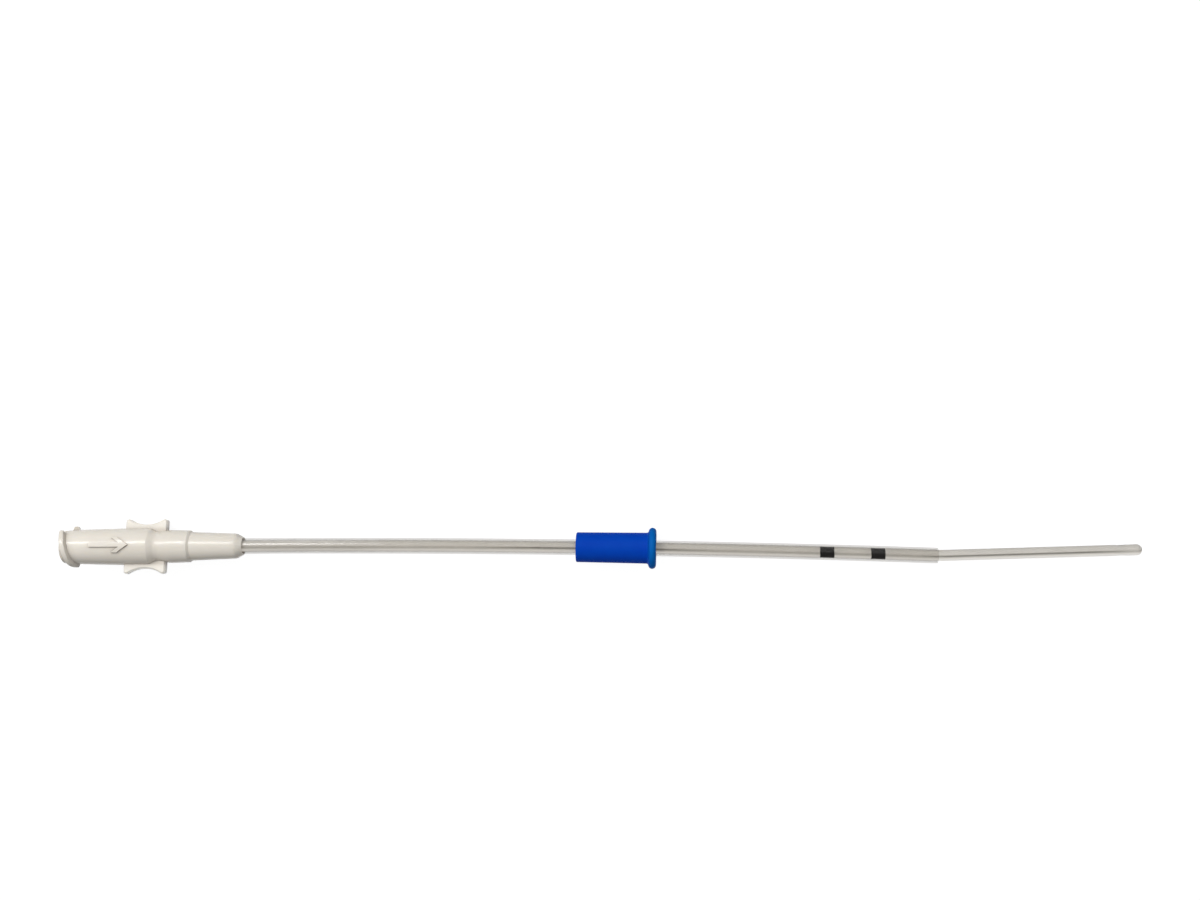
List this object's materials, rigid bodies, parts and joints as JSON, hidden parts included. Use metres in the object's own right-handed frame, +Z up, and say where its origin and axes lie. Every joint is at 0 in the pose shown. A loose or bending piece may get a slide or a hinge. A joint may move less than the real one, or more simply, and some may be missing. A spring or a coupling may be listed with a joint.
{
  "type": "insemination catheter",
  "caption": "Straight two-tube catheter with a winged luer-lock hub, a stiff outer sheath, a rounded inner tube with side eyes and a sliding flanged depth stopper.",
  "frame": {"origin": "centre of the luer socket's mouth, on the hub's axis", "axes": "+X along the hub's axis towards the tip, +Z up with the catheter laid down and rolled over until a wing touches the ground, and the tubes bow towards -Y and a little up"},
  "size_m": [0.2052, 0.009, 0.0078],
  "materials": {
    "hub_plastic": "glossy moulded ivory plastic",
    "sheath_plastic": "translucent smooth extruded plastic",
    "tube_plastic": "translucent smooth extruded plastic with two black printed bands",
    "stopper_plastic": "satin moulded blue plastic"
  },
  "bodies": {
    "catheter": {"hub": "hub_plastic", "outer_sheath": "sheath_plastic", "inner_tube": "tube_plastic"},
    "stopper": {"stopper": "stopper_plastic"}
  },
  "joints": [
    {"name": "stopper_slide", "type": "hinge", "parent": "catheter", "child": "stopper", "pos_m": [0.04161, -2.8977, 1.72036], "axis": [-0.0038, -0.5105, -0.8598], "range_deg": [-1.07, 0.9]}
  ]
}
